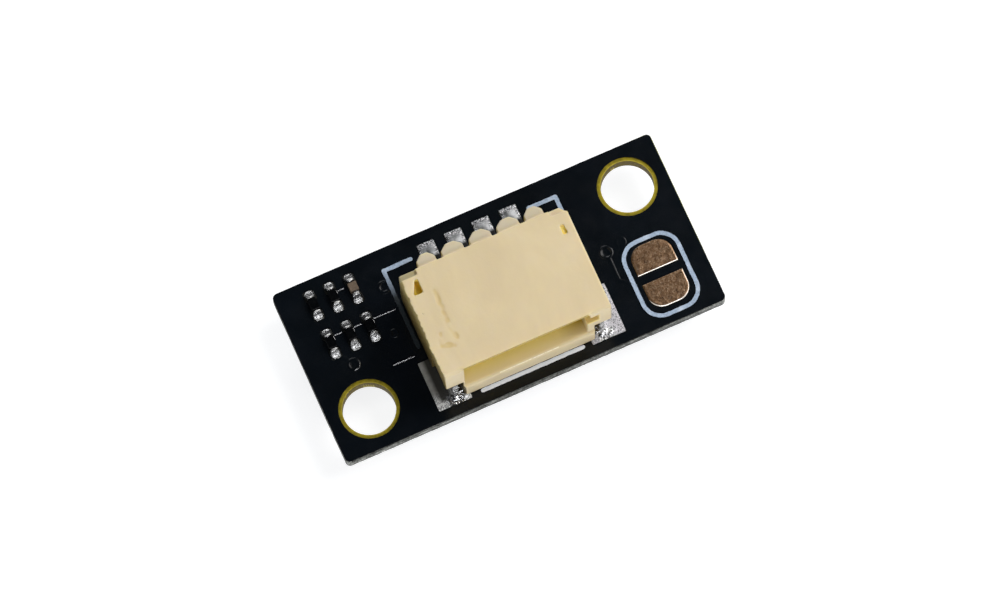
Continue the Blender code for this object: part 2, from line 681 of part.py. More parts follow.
# ---- ranging package on the underside --------------------------------------------------------------
def make_sensor(parts, cutters, surfaces):
    length = SENSOR_LENGTH
    width = SENSOR_WIDTH
    substrate_top = BOARD_BOTTOM - SENSOR_STANDOFF
    substrate_low = substrate_top - SUBSTRATE_THICKNESS
    bm = bmesh.new()
    add_box(bm, (-length / 2, -width / 2, substrate_low), (length / 2, width / 2, substrate_top))
    substrate = add_object("sensor_substrate", bm, parts, surfaces["substrate"])

    bm = bmesh.new()
    add_prism(bm, rounded_outline(0, 0, length - 0.02 * MM, width - 0.02 * MM, 0.08 * MM, 3), 0,
              SENSOR_CAP_HEIGHT)
    cap = add_object("sensor_cap", bm, parts, surfaces["package"])
    bm = bmesh.new()
    wall = -0.35 * MM
    edge = length / 2 - CAP_WALL
    side = width / 2 - CAP_WALL
    add_box(bm, (-edge, -side, CAP_ROOF), (wall - CAP_WALL / 2, side, 2 * MM))
    add_box(bm, (wall + CAP_WALL / 2, -side, CAP_ROOF), (edge, side, 2 * MM))
    chambers = add_object("cut_sensor_chambers", bm, cutters)
    cut(cap, chambers)
    bm = bmesh.new()
    for x, diameter in ((EMITTER_X, EMITTER_APERTURE), (RECEIVER_X, RECEIVER_APERTURE)):
        matrix = Matrix.Translation((x, 0, CAP_ROOF / 2))
        bmesh.ops.create_cone(bm, cap_ends=True, segments=40, radius1=diameter / 2 + APERTURE_FLARE,
                              radius2=diameter / 2, depth=CAP_ROOF + 0.1 * MM, matrix=matrix)
    apertures = add_object("cut_sensor_apertures", bm, cutters)
    cut(cap, apertures)

    low = CAP_ROOF + 0.01 * MM
    windows = (("emitter_window", EMITTER_X, 0.95 * MM), ("receiver_window", RECEIVER_X, 1.5 * MM))
    shapes = [substrate, cap, chambers, apertures]
    for name, x, size in windows:
        bm = bmesh.new()
        add_prism(bm, rounded_outline(x, 0, size, size, 0.06 * MM, 3), low, low + WINDOW_THICKNESS)
        shapes.append(add_object(name, bm, parts, surfaces["window"]))

    die_high = substrate_low - 0.01 * MM
    dies = (("laser_emitter_die", EMITTER_X, 0.36 * MM, 0.36 * MM, 0.14 * MM),
            ("photon_detector_die", RECEIVER_X, 1.7 * MM, 1.4 * MM, 0.16 * MM))
    for name, x, size_x, size_y, height in dies:
        bm = bmesh.new()
        add_box(bm, (x - size_x / 2, -size_y / 2, die_high - height),
                (x + size_x / 2, size_y / 2, die_high))
        shapes.append(add_object(name, bm, parts, surfaces["die"]))
    for shape in shapes:
        shape.location.y = SENSOR_Y


def under_pad_places():
    _, length, _ = UNDER_CAPACITOR
    reach = length / 2 - UNDER_CAP_WRAP / 2 + 0.06 * MM
    return [(side * UNDER_CAPACITOR_X, SENSOR_Y + end * reach)
            for side in (-1, 1) for end in (-1, 1)]


def under_pad_outline(x, y, margin=0.0):
    return rounded_outline(x, y, UNDER_PAD[0] + 2 * margin, UNDER_PAD[1] + 2 * margin,
                           0.05 * MM + margin, 3)


def make_under_capacitors(parts, surfaces):
    width, length, height = UNDER_CAPACITOR
    roof = LAMINATE_BOTTOM - SKIN_GAP
    for number, side in ((2, -1), (3, 1)):
        x = side * UNDER_CAPACITOR_X
        body_length = length - 2 * UNDER_CAP_WRAP - 2 * CHIP_GAP
        chip_body(f"capacitor_{number}_body", x, SENSOR_Y, BOARD_BOTTOM - 0.03 * MM - height,
                  width, body_length, height, parts, surfaces["capacitor"])
        for end, label in ((1, "rear"), (-1, "front")):
            item = chip_terminal(f"capacitor_{number}_terminal_{label}", 0,
                                 end * (length / 2 - UNDER_CAP_WRAP), end, UNDER_CAP_WRAP,
                                 0.1 * MM, (width + 0.01 * MM, UNDER_PAD[0]),
                                 (0, 0.03 * MM, roof - BOARD_BOTTOM + 0.04 * MM + height), parts,
                                 surfaces["solder"])
            item.data.transform(Matrix.Diagonal((1, 1, -1, 1)))
            item.data.flip_normals()
            item.location = (x, SENSOR_Y, roof)


def main():
    clear_scene()
    parts = bpy.data.collections.new("lidar ranging module")
    cutters = bpy.data.collections.new("cutters")
    for collection in (parts, cutters):
        bpy.context.scene.collection.children.link(collection)
    surfaces = make_surfaces()
    make_board(parts, cutters, surfaces)
    make_vias(parts, surfaces)
    make_housing(parts, cutters, surfaces)
    make_contacts(parts, surfaces)
    make_solder_tabs(parts, surfaces)
    make_pads(parts, surfaces)
    make_chips(parts, surfaces)
    make_prints(parts, surfaces)
    make_sensor(parts, cutters, surfaces)
    make_under_capacitors(parts, surfaces)


main()
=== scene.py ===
"""Looks of a compact optical ranging module: black circuit board, ivory header, chip parts.

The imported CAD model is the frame. +X runs towards the solder jumper, +Y towards the header's
soldered contacts, +Z up. Lengths below are in millimetres until they are put in a mesh.
"""
import json
import math

import bmesh
import bpy
import numpy as np
from mathutils import Matrix, Vector, noise


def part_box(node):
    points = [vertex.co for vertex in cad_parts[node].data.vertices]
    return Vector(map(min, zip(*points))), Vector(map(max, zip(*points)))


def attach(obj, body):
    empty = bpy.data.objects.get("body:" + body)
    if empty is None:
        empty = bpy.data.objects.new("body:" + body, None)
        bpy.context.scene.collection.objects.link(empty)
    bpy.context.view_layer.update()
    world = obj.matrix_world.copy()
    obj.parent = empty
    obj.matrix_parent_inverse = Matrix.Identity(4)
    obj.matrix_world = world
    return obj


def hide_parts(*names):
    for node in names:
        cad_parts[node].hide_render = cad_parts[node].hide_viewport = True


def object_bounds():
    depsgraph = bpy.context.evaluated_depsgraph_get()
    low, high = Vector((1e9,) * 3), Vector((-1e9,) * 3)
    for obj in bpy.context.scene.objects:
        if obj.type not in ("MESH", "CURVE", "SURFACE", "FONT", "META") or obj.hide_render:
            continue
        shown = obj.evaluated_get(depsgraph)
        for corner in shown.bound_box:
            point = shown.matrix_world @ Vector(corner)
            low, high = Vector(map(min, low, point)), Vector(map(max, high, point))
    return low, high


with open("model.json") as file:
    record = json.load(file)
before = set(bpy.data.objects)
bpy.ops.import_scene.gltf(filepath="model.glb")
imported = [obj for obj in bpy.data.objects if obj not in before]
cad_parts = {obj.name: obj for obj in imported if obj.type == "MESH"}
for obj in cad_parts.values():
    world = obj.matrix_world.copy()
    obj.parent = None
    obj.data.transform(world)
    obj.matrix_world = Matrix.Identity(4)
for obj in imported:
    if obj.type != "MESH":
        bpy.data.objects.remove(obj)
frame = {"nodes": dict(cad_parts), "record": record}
CAD_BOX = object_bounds()
NODES = frame["nodes"]
MM = 0.001


def box_mm(name):
    """A CAD node's lowest and highest corners, in millimetres."""
    low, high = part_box(name)
    return low / MM, high / MM


# ---- places that several sections share ------------------------------------------------------
HOUSING_LOW, HOUSING_HIGH = box_mm("connector_housing")
ROOF = HOUSING_HIGH.z                # the header's flat top
LIP_TOP = ROOF - 2.0                 # the top of the lip in front of the header's mouth
MOUTH_LEFT = -2.34
MOUTH_RIGHT = 2.15
MOUTH_BACK = HOUSING_HIGH.y - 0.9
HEAP_X = 2.66                        # the solder heaped at the front of the tabs
HOLE_CENTRES = ((-5.49, -1.75), (5.49, 1.75))
TOP_SLOTS = (                        # x, y, depth, painted light colours at the front and the rear
    (-2.64, 0.65, 0.30, (0.70, 0.52, 0.03), (0.92, 0.76, 0.18)),
    (2.63, 0.47, 0.1, (0.92, 0.72, 0.10), (0.95, 0.82, 0.34)),
)
MARK_PATH = ((-2.10, 0.30), (-2.12, -0.31), (-2.14, -0.98), (-2.08, -1.54), (-2.24, -1.68),
             (-2.63, -1.52), (-2.57, -1.14))
MARK_LEFT = -2.9                     # the part of the roof that the pressed mark can reach
MARK_RIGHT = -1.8
MARK_FRONT = -1.9
MARK_REAR = 0.6

# ---- camera: where it looks and from where, in millimetres and degrees -------------------------
AIM = (-0.062, -0.282, 0.0)          # from the middle of the CAD box
AZIMUTH = -19.0
ELEVATION = 74.4
ROLL = -5.05
DISTANCE = 250.0
LENS = 270.3
SENSOR_WIDTH = 36.0

# ---- copper covered by the mask on the top face ----------------------------------------------
TRACE_STEP = 0.05
SHARP_WIDTH = 0.042
SHARP_HEIGHT = 0.03
SHARP_TRACES = (                     # points of each thin, shiny line
    ((-4.11, 1.03), (-3.32, 1.03)),
    ((-4.83, 1.03), (-4.55, 1.03)),
    ((-5.55, 1.03), (-5.27, 1.03)),
    ((-4.83, 2.4), (-4.6, 2.4)),
    ((-4.17, -0.72), (-3.39, -0.72)),
    ((-4.15, 1.04), (-4.14, 0.88)),
    ((-4.87, 1.04), (-4.86, 0.88)),
    ((-5.59, 1.04), (-5.58, 0.88)),
    ((-4.87, 2.45), (-4.86, 2.3)),
)
FAINT_TRACES = (                     # width, height, points
    (0.16, 0.0066, ((3.91, -0.28), (3.90, -1.12), (4.16, -1.31))),
    (0.18, 0.0036, ((-3.36, 1.9), (-3.51, 2.02), (-4.02, 2.5))),
    (0.18, 0.0036, ((-5.34, -0.15), (-5.60, 0.27))),
    (0.18, 0.003, ((-4.17, -0.72), (-4.9, -0.1))),
)
VIA_GLINT = (-5.34, -0.15, 0.2, -1.8, 1.7)      # x, y, radius, first angle, sweep
VIA_GLINT_WIDTH = 0.045
VIA_SPOTS = (                        # x, y, outer radius, hollow radius, height
    (3.9, -0.06, 0.25, 0.14, 0.009),
    (-3.36, 1.89, 0.25, 0.14, 0.016),
    (-5.34, -0.15, 0.25, 0.15, 0.014),
    (4.49, 0.08, 0.2, 0.1, 0.003),
    (-3.68, 0.29, 0.17, 0.06, 0.02),
)


# ---- node materials ----------------------------------------------------------------------------
FLOOR_GLOW = 0.82


class Paint:
    """One material's node tree. Patterns are laid out in millimetres on the object."""

    def __init__(self, name, **settings):
        self.material = bpy.data.materials.new(name)
        self.material.use_nodes = True
        self.tree = self.material.node_tree
        self.shader = self.tree.nodes["Principled BSDF"]
        spot = self.node("ShaderNodeTexCoord").outputs["Object"]
        scaled = self.node("ShaderNodeVectorMath", operation="SCALE")
        self.put(scaled.inputs[0], spot)
        scaled.inputs["Scale"].default_value = 1 / MM
        self.place = scaled.outputs[0]
        self.normal = None
        for socket, value in settings.items():
            self.set(socket.replace("_", " "), value)

    def node(self, kind, **settings):
        made = self.tree.nodes.new(kind)
        for key, value in settings.items():
            setattr(made, key, value)
        return made

    def put(self, socket, value):
        if isinstance(value, bpy.types.NodeSocket):
            self.tree.links.new(value, socket)
        elif isinstance(value, tuple) and len(value) == 3 and socket.type == "RGBA":
            socket.default_value = (*value, 1.0)
        else:
            socket.default_value = value

    def set(self, socket, value):
        self.put(self.shader.inputs[socket], value)

    def math(self, operation, first, second=0.0):
        made = self.node("ShaderNodeMath", operation=operation)
        for socket, value in zip(made.inputs, (first, second)):
            self.put(socket, value)
        return made.outputs[0]

    def axes(self):
        split = self.node("ShaderNodeSeparateXYZ")
        self.put(split.inputs[0], self.place)
        return split.outputs

    def facing(self):
        """How far each way the surface's own normal points, as X, Y and Z."""
        split = self.node("ShaderNodeSeparateXYZ")
        self.put(split.inputs[0], self.node("ShaderNodeNewGeometry").outputs["Normal"])
        return split.outputs

    def stretched(self, squeeze):
        scaled = self.node("ShaderNodeVectorMath", operation="MULTIPLY")
        self.put(scaled.inputs[0], self.place)
        scaled.inputs[1].default_value = squeeze
        return scaled.outputs[0]

    def noise(self, scale, detail=3.0, roughness=0.55, squeeze=(1, 1, 1), twist=0.0):
        made = self.node("ShaderNodeTexNoise")
        self.put(made.inputs["Vector"], self.stretched(squeeze))
        for socket, value in (("Scale", scale), ("Detail", detail), ("Roughness", roughness),
                              ("Distortion", twist)):
            made.inputs[socket].default_value = value
        return made.outputs[0]

    def cells(self, scale, output="Distance"):
        made = self.node("ShaderNodeTexVoronoi")
        self.put(made.inputs["Vector"], self.place)
        made.inputs["Scale"].default_value = scale
        return made.outputs[output]

    def wave(self, scale, direction="X", wobble=0.0, profile="SIN"):
        made = self.node("ShaderNodeTexWave", bands_direction=direction, wave_profile=profile)
        self.put(made.inputs["Vector"], self.place)
        made.inputs["Scale"].default_value = scale
        made.inputs["Distortion"].default_value = wobble
        return made.outputs["Fac"]

    def span(self, value, low, high, to_low=0.0, to_high=1.0):
        made = self.node("ShaderNodeMapRange", clamp=True)
        for socket, number in zip(made.inputs, (value, low, high, to_low, to_high)):
            self.put(socket, number)
        return made.outputs[0]

    def near(self, value, place, reach):
        """1 where the value is less than reach away from the place, 0 elsewhere."""
        gap = self.math("ABSOLUTE", self.math("SUBTRACT", value, place))
        return self.math("LESS_THAN", gap, reach)

    def ramp(self, value, *stops):
        made = self.node("ShaderNodeValToRGB")
        points = made.color_ramp.elements
        while len(points) < len(stops):
            points.new(0.5)
        for point, (position, colour) in zip(points, stops):
            point.position = position
            point.color = (*colour, 1.0)
        self.put(made.inputs[0], value)
        return made.outputs[0]

    def mix(self, factor, first, second):
        made = self.node("ShaderNodeMix", data_type="RGBA")
        for socket, value in ((0, factor), (6, first), (7, second)):
            self.put(made.inputs[socket], value)
        return made.outputs[2]

    def times(self, *factors):
        """The product of several factors."""
        product = factors[0]
        for factor in factors[1:]:
            product = self.math("MULTIPLY", product, factor)
        return product

    def inverse(self, factor):
        return self.math("SUBTRACT", 1.0, factor)

    def inside(self, low, high, fade):
        """1 inside a box given in millimetres, fading to 0 over the given distance at its walls."""
        walls = []
        for value, start, end in zip(self.axes(), low, high):
            walls += [self.span(value, start, start + fade), self.span(value, end, end - fade)]
        return self.times(*walls)

    def relief(self, height, depth):
        """Raises the surface by up to depth millimetres, on top of the reliefs before it."""
        made = self.node("ShaderNodeBump")
        made.inputs["Distance"].default_value = depth * MM
        self.put(made.inputs["Height"], height)
        if self.normal:
            self.put(made.inputs["Normal"], self.normal)
        self.normal = made.outputs[0]
        self.set("Normal", self.normal)


def mask_paint(name="black_solder_mask", specular=0.24, coat=0.0, index=1.5):
    """Black solder mask: glossy, with the weave of the glass cloth showing faintly."""
    p = Paint(name, Specular_IOR_Level=specular, IOR=index, Coat_Weight=coat, Coat_Roughness=0.12)
    p.set("Base Color", p.ramp(p.noise(0.7, 3), (0.3, (0.0015, 0.0028, 0.0043)),
                               (0.75, (0.0031, 0.0050, 0.0079))))
    p.set("Roughness", p.span(p.noise(2.2, 4), 0.3, 0.75, 0.16, 0.24))
    weave = p.math("MAXIMUM", p.wave(0.7, "X", 0.6), p.wave(0.7, "Y", 0.6))
    p.relief(weave, 0.0008)
    p.relief(p.noise(9, 4), 0.0008)
    p.relief(p.noise(1.3, 2), 0.003)
    return p.material


def laminate_paint():
    """Cut glass and epoxy: layered fibres at the walls, smooth yellowish rims round the holes with a
    painted highlight at their inner edge, painted light near the right rear edge, and bores partly in
    painted shade.
    """
    p = Paint("glass_epoxy_laminate", Specular_IOR_Level=0.2)
    flat = p.span(p.math("ABSOLUTE", p.facing()[2]), 0.3, 0.8)
    layers = p.noise(3.0, 4, 0.7, (0.7, 0.7, 9))
    strands = p.noise(9.0, 4, 0.7, (1.6, 1.6, 0.5))
    x, y, _ = p.axes()

    edge = p.ramp(layers, (0.38, (0.012, 0.013, 0.012)), (0.5, (0.13, 0.135, 0.12)),
                  (0.6, (0.55, 0.56, 0.52)))
    edge = p.mix(p.span(strands, 0.45, 0.6, 0.0, 0.75), edge, (0.03, 0.032, 0.028))
    # Painted light: flat faces near the right rear edge turn yellow-green, as where light catches that
    # edge.
    towards_right_rear = p.times(p.span(x, 6.0, 6.85), p.span(y, -2.6, 1.0))
    lit = p.mix(towards_right_rear, (0.012, 0.014, 0.012), (0.60, 0.62, 0.24))

    reaches = []
    for hole_x, hole_y in HOLE_CENTRES:
        dx = p.math("SUBTRACT", x, hole_x)
        dy = p.math("SUBTRACT", y, hole_y)
        square = p.math("ADD", p.math("MULTIPLY", dx, dx), p.math("MULTIPLY", dy, dy))
        reaches.append(p.math("SQRT", square))
    reach = p.math("MINIMUM", *reaches)
    rim = p.ramp(p.noise(5.0, 4), (0.3, (0.15, 0.115, 0.004)), (0.7, (0.34, 0.27, 0.008)))
    # Painted highlight: a pale line at the inner edge of each hole's rim, where the edge catches the
    # light.
    rim = p.mix(p.span(reach, 0.92, 0.94, 0.5, 0.0), rim, (0.52, 0.42, 0.05))
    rim = p.mix(p.span(reach, 1.0, 1.04, 0.0, 0.6), rim, (0.06, 0.052, 0.004))
    # The bore is partly the laminate's own brown and partly painted shade: it is darker than the outer
    # cut edge, as inside a hole.
    bore = p.ramp(layers, (0.3, (0.05, 0.036, 0.002)), (0.7, (0.17, 0.125, 0.006)))

    at_hole = p.span(reach, 1.1, 1.3, 1.0, 0.0)
    p.set("Base Color", p.mix(at_hole, p.mix(flat, edge, lit), p.mix(flat, bore, rim)))
    p.set("Roughness", p.span(strands, 0.3, 0.7, 0.45, 0.8))
    p.relief(layers, 0.012)
    p.relief(strands, 0.01)
    return p.material


def wall_painted_shade(p, colour):
    """Painted shade: darker ribs, right and front faces, and a left wall that gets darker towards the
    board.
    """
    facing = p.facing()
    _, y, height = p.axes()
    # Painted shade on the ribs at the rear.
    colour = p.mix(p.span(y, 1.24, 1.36, 0.0, 0.8), colour, (0.565, 0.505, 0.375))
    # Painted shade on faces that point right and to the front.
    for way, share in ((p.span(facing[0], 0.2, 0.8), 0.32), (p.span(facing[1], -0.3, -0.9), 0.2)):
        colour = p.mix(p.times(way, share), colour, (0.16, 0.13, 0.075))
    opening = p.inside((-2.0, HOUSING_LOW.y - 0.2, HOUSING_LOW.z), (2.6, -0.5, ROOF + 0.2), 0.1)
    # Painted shade on the left-facing walls outside the mouth, darkest near the board.
    left = p.times(p.span(facing[0], -0.4, -0.8), p.inverse(opening))
    shade = p.ramp(p.span(height, HOUSING_LOW.z, ROOF), (0.0, (0.08, 0.055, 0.012)),
                   (0.6, (0.2, 0.145, 0.038)), (0.97, (0.46, 0.36, 0.14)))
    return p.mix(left, colour, shade)


def mouth_shade_and_glow(p, colour):
    """The mouth: ochre, partly the plastic's own colour and partly painted shade, deeper on the right,
    with a brow in painted shade and a faint emission standing in for light through the thin walls.
    """
    x, y, _ = p.axes()
    front = HOUSING_LOW.y
    deep = p.span(y, front + 0.1, front + 0.6)
    right = p.span(x, 1.2, 2.0)
    mouth = p.inside((MOUTH_LEFT, front, LIP_TOP - 0.1), (MOUTH_RIGHT, MOUTH_BACK, ROOF - 0.02), 0.05)
    # The plastic's ochre with painted shade: the inside of the mouth darkens with depth and towards the
    # right.
    ochre = p.mix(right, (0.80, 0.64, 0.19), (0.44, 0.29, 0.012))
    colour = p.mix(p.times(mouth, deep), colour, ochre)
    # Painted shade on the front-facing brow under the roof's front edge.
    brow = p.inside((MOUTH_LEFT, -2.62, ROOF - 0.35), (MOUTH_RIGHT + 0.05, -2.0, ROOF + 0.2), 0.03)
    forwards = p.span(p.facing()[1], -0.15, -0.5)
    colour = p.mix(p.times(brow, forwards), colour, (0.36, 0.27, 0.08))
    # Painted light: a faint emission inside the mouth stands in for light coming through the thin walls.
    inner = p.inside((MOUTH_LEFT, front, HOUSING_LOW.z), (MOUTH_RIGHT, MOUTH_BACK, ROOF - 0.5), 0.1)
    glow = p.times(inner, p.inverse(p.times(right, deep)))
    p.set("Emission Color", p.mix(glow, (0.0, 0.0, 0.0), (0.078, 0.065, 0.024)))
    p.set("Emission Strength", 1.0)
    key_slot = p.inside((2.1, front - 0.1, ROOF - 1.15), (2.6, front + 1.2, ROOF - 0.42), 0.05)
    return p.mix(p.times(key_slot, 0.9), colour, (0.80, 0.64, 0.27))


def slot_painted_light(p, colour):
    """Painted light in the two roof slots: yellow, browner at the front and brighter at the rear,
    standing in for light coming through the thin wall below them.
    """
    _, y, _ = p.axes()
    for slot_x, slot_y, _, front, rear in TOP_SLOTS:
        slot = p.inside((slot_x - 0.22, slot_y - 0.3, ROOF - 0.6),
                        (slot_x + 0.22, slot_y + 0.3, ROOF - 0.03), 0.03)
        colour = p.mix(slot, colour, p.mix(p.span(y, slot_y - 0.2, slot_y + 0.2), front, rear))
    return colour


def marks_shade_and_glint(p, colour):
    """Small tints: the pressed mark; painted shade on the rear left step, the lip's front and the tab
    recess; and a painted highlight along the lip.
    """
    front = HOUSING_LOW.y
    pressed = p.inside((MARK_LEFT, MARK_FRONT, ROOF - 0.1), (MARK_RIGHT, MARK_REAR, ROOF - 0.002), 0.008)
    colour = p.mix(p.times(pressed, 0.45), colour, (0.60, 0.43, 0.13))
    # Painted shade on the rear left step below the roof.
    step = p.inside((-3.1, 1.02, ROOF - 0.3), (-2.42, 1.3, ROOF - 0.04), 0.02)
    colour = p.mix(p.times(step, 0.95), colour, (0.39, 0.34, 0.19))
    # Painted shade on the lip's front face.
    lip = p.inside((-2.2, front, LIP_TOP - 0.15), (2.2, front + 0.09, LIP_TOP + 0.05), 0.03)
    colour = p.mix(p.times(lip, 0.5), colour, (0.56, 0.49, 0.32))
    # Painted highlight: a broken bright line along the lip's rounded top edge.
    lip_glint = p.inside((-1.1, front + 0.025, LIP_TOP - 0.1), (1.05, front + 0.06, LIP_TOP + 0.05), 0.012)
    glint_breaks = p.span(p.noise(9, 3), 0.35, 0.5, 0.1, 0.55)
    colour = p.mix(p.times(lip_glint, glint_breaks), colour, (1.0, 0.97, 0.86))
    low = HOUSING_LOW.z
    # Painted shade in the hollow beside the left tab.
    recess = p.inside((-3.1, -2.4, low - 0.2), (-2.4, -1.2, low + 1.55), 0.05)
    return p.mix(recess, colour, (0.10, 0.07, 0.018))


def ivory_paint():
    """Moulded nylon: warm ivory, slightly translucent, with faint flow marks; the tone functions add
    painted shade, painted light and a painted highlight.
    """
    p = Paint("ivory_nylon", Specular_IOR_Level=0.4, Subsurface_Weight=0.32,
              Subsurface_Radius=(1.0, 0.8, 0.24), Subsurface_Scale=0.35 * MM)
    flow = p.noise(0.55, 4, 0.6, (1.0, 0.45, 1.0), 0.6)
    colour = p.ramp(flow, (0.25, (0.665, 0.543, 0.337)), (0.55, (0.725, 0.602, 0.378)),
                    (0.85, (0.775, 0.656, 0.432)))
    speck = p.span(p.noise(7.0, 5, 0.7), 0.62, 0.75)
    colour = p.mix(p.times(speck, 0.10), colour, (0.55, 0.40, 0.18))
    for add_tones in (wall_painted_shade, mouth_shade_and_glow, slot_painted_light, marks_shade_and_glint):
        colour = add_tones(p, colour)
    p.set("Base Color", colour)
    p.set("Roughness", p.span(p.noise(3.5, 4), 0.3, 0.7, 0.36, 0.52))
    p.relief(p.noise(14, 3, 0.6), 0.0035)
    p.relief(p.noise(1.1, 2), 0.012)
    return p.material


def plated_paint(name, dark, light, rough, grain, depth):
    """Tin, solder or copper: bright metal with a fine frozen grain and duller patches."""
    p = Paint(name, Metallic=1.0)
    p.set("Base Color", p.ramp(p.noise(grain * 0.35, 4, 0.6), (0.3, dark), (0.7, light)))
    p.set("Roughness", p.span(p.noise(grain * 0.6, 4, 0.65), 0.3, 0.72, *rough))
    p.relief(p.cells(grain), depth)
    p.relief(p.noise(grain * 0.4, 4, 0.6), depth * 2.5)
    return p.material


def frozen_heap(p, side, base):
    """Brighter, crumpled metal where solder is heaped beside a tab; the rest keeps its base."""
    x = side * (HEAP_X + 0.06)
    heap = p.inside((x - 0.3, -3.2, 0.0), (x + 0.36, -2.42, 3.0), 0.08)
    glitter = p.ramp(p.noise(13, 3, 0.7), (0.42, (0.03, 0.03, 0.03)), (0.56, (1.0, 1.0, 1.0)))
    p.set("Metallic", p.span(heap, 0.0, 1.0, 0.2, 1.0))
    return p.mix(heap, base, glitter), heap


def left_tin_paint():
    """Tinned copper: dull, frosted at the front, dark where it lies in the housing's shade."""
    p = Paint("left_tin")
    dull = p.ramp(p.noise(3, 4, 0.6), (0.3, (0.27, 0.265, 0.24)), (0.7, (0.42, 0.415, 0.38)))
    frost = p.ramp(p.noise(26, 3, 0.7), (0.40, (0.16, 0.16, 0.16)), (0.56, (1.0, 1.0, 0.98)))
    dull = p.mix(p.span(p.axes()[1], -2.1, -2.6), dull, frost)
    shade = p.inside((-3.3, -2.64, 0.0), (-2.72, -0.8, 3.0), 0.15)
    dull = p.mix(p.times(shade, 0.93), dull, (0.02, 0.018, 0.014))
    colour, heap = frozen_heap(p, -1, dull)
    p.set("Base Color", colour)
    p.set("Roughness", p.span(heap, 0.0, 1.0, 0.38, 0.14))
    p.relief(p.noise(9, 4, 0.6), 0.006)
    p.relief(p.times(p.noise(14, 3), heap), 0.03)
    return p.material


def right_tin_paint():
    """Tinned copper, pale, with fine dark pits."""
    p = Paint("grainy_solder")
    pits = p.noise(24, 3, 0.7)
    pale = p.ramp(pits, (0.40, (0.04, 0.04, 0.045)), (0.48, (0.46, 0.45, 0.48)),
                  (0.7, (0.68, 0.67, 0.70)))
    colour, _ = frozen_heap(p, 1, pale)
    p.set("Base Color", colour)
    p.set("Roughness", p.span(p.noise(8, 4), 0.3, 0.72, 0.35, 0.55))
    p.relief(pits, 0.006)
    return p.material


def pad_solder_paint():
    """Thin solder: grey, painted darker towards each pad's left and lighter towards its right, pitted
    along the rims, and painted nearly black as shade where it runs under the ribs.
    """
    p = Paint("smooth_solder")
    x, y, _ = p.axes()
    aside = p.math("SUBTRACT", p.math("FRACT", x), 0.5)       # the pads repeat every millimetre
    cloud = p.math("SUBTRACT", p.noise(4, 3), 0.5)
    # Painted light and shade: each pad is darker towards its left side and lighter towards its right.
    tone = p.math("ADD", aside, p.times(cloud, 1.2))
    dull = p.ramp(p.span(tone, -0.3, 0.3), (0.0, (0.05, 0.052, 0.056)),
                  (0.55, (0.30, 0.31, 0.32)), (1.0, (0.62, 0.63, 0.65)))
    rim = p.math("MAXIMUM", p.span(p.math("ABSOLUTE", aside), 0.17, 0.27), p.span(y, 2.54, 2.69))
    pits = p.noise(21, 3, 0.75)
    pitted = p.ramp(pits, (0.44, (0.015, 0.015, 0.017)), (0.53, (0.30, 0.31, 0.33)),
                    (0.6, (0.95, 0.96, 0.98)))
    colour = p.mix(rim, dull, pitted)
    # Painted shade: nearly black where the pads run in under the ribs.
    p.set("Base Color", p.mix(p.span(y, 2.30, 2.18), colour, (0.004, 0.004, 0.004)))
    p.set("Metallic", 0.6)
    p.set("Roughness", p.span(p.noise(8, 4, 0.65), 0.3, 0.72, 0.34, 0.55))
    p.relief(pits, 0.008)
    return p.material


def end_cap_paint():
    """Plated end caps: upward faces painted pale and less metallic, partly the plating and partly
    painted light, with darker frozen solder running down from them.
    """
    p = Paint("frozen_solder")
    # The plating's own pallor with painted light: upward faces turn pale.
    top = p.times(p.span(p.facing()[2], 0.8, 0.96), p.span(p.noise(16, 3, 0.7), 0.36, 0.56))
    grain = p.ramp(p.noise(15, 4, 0.7), (0.38, (0.03, 0.03, 0.032)), (0.62, (0.5, 0.5, 0.5)))
    p.set("Base Color", p.mix(top, grain, (0.62, 0.62, 0.61)))
    p.set("Metallic", p.span(top, 0.0, 1.0, 1.0, 0.3))
    p.set("Roughness", p.span(p.noise(12, 4, 0.65), 0.3, 0.72, 0.14, 0.34))
    p.relief(p.noise(13, 4, 0.65), 0.022)
    return p.material


def jumper_paint():
    """Brownish surface finish on copper, with a fine sparkle, and painted highlights with a little
    emission on the front- and right-facing rims.
    """
    p = Paint("brown_finish", Metallic=1.0)
    tone = p.math("ADD", p.times(p.cells(22, "Color"), 0.5), p.times(p.noise(6, 5, 0.7), 0.5))
    brown = p.ramp(tone, (0.25, (0.165, 0.095, 0.05)), (0.55, (0.26, 0.157, 0.09)),
                   (0.85, (0.50, 0.35, 0.23)))
    facing = p.facing()
    # Painted highlight: rims facing front and right are painted near white and given a little emission.
    right = p.times(p.span(facing[0], 0.3, 0.6), p.span(p.axes()[1], -0.9, -1.3))
    rim = p.math("MAXIMUM", p.span(facing[1], -0.12, -0.4), right)
    p.set("Base Color", p.mix(rim, brown, (1.0, 0.96, 0.90)))
    p.set("Emission Color", p.mix(rim, (0.0, 0.0, 0.0), (0.55, 0.50, 0.44)))
    p.set("Emission Strength", 1.0)
    p.set("Roughness", p.span(p.noise(9, 4), 0.3, 0.7, 0.26, 0.4))
    p.relief(p.cells(22), 0.003)
    p.relief(p.noise(4, 4), 0.003)
    return p.material


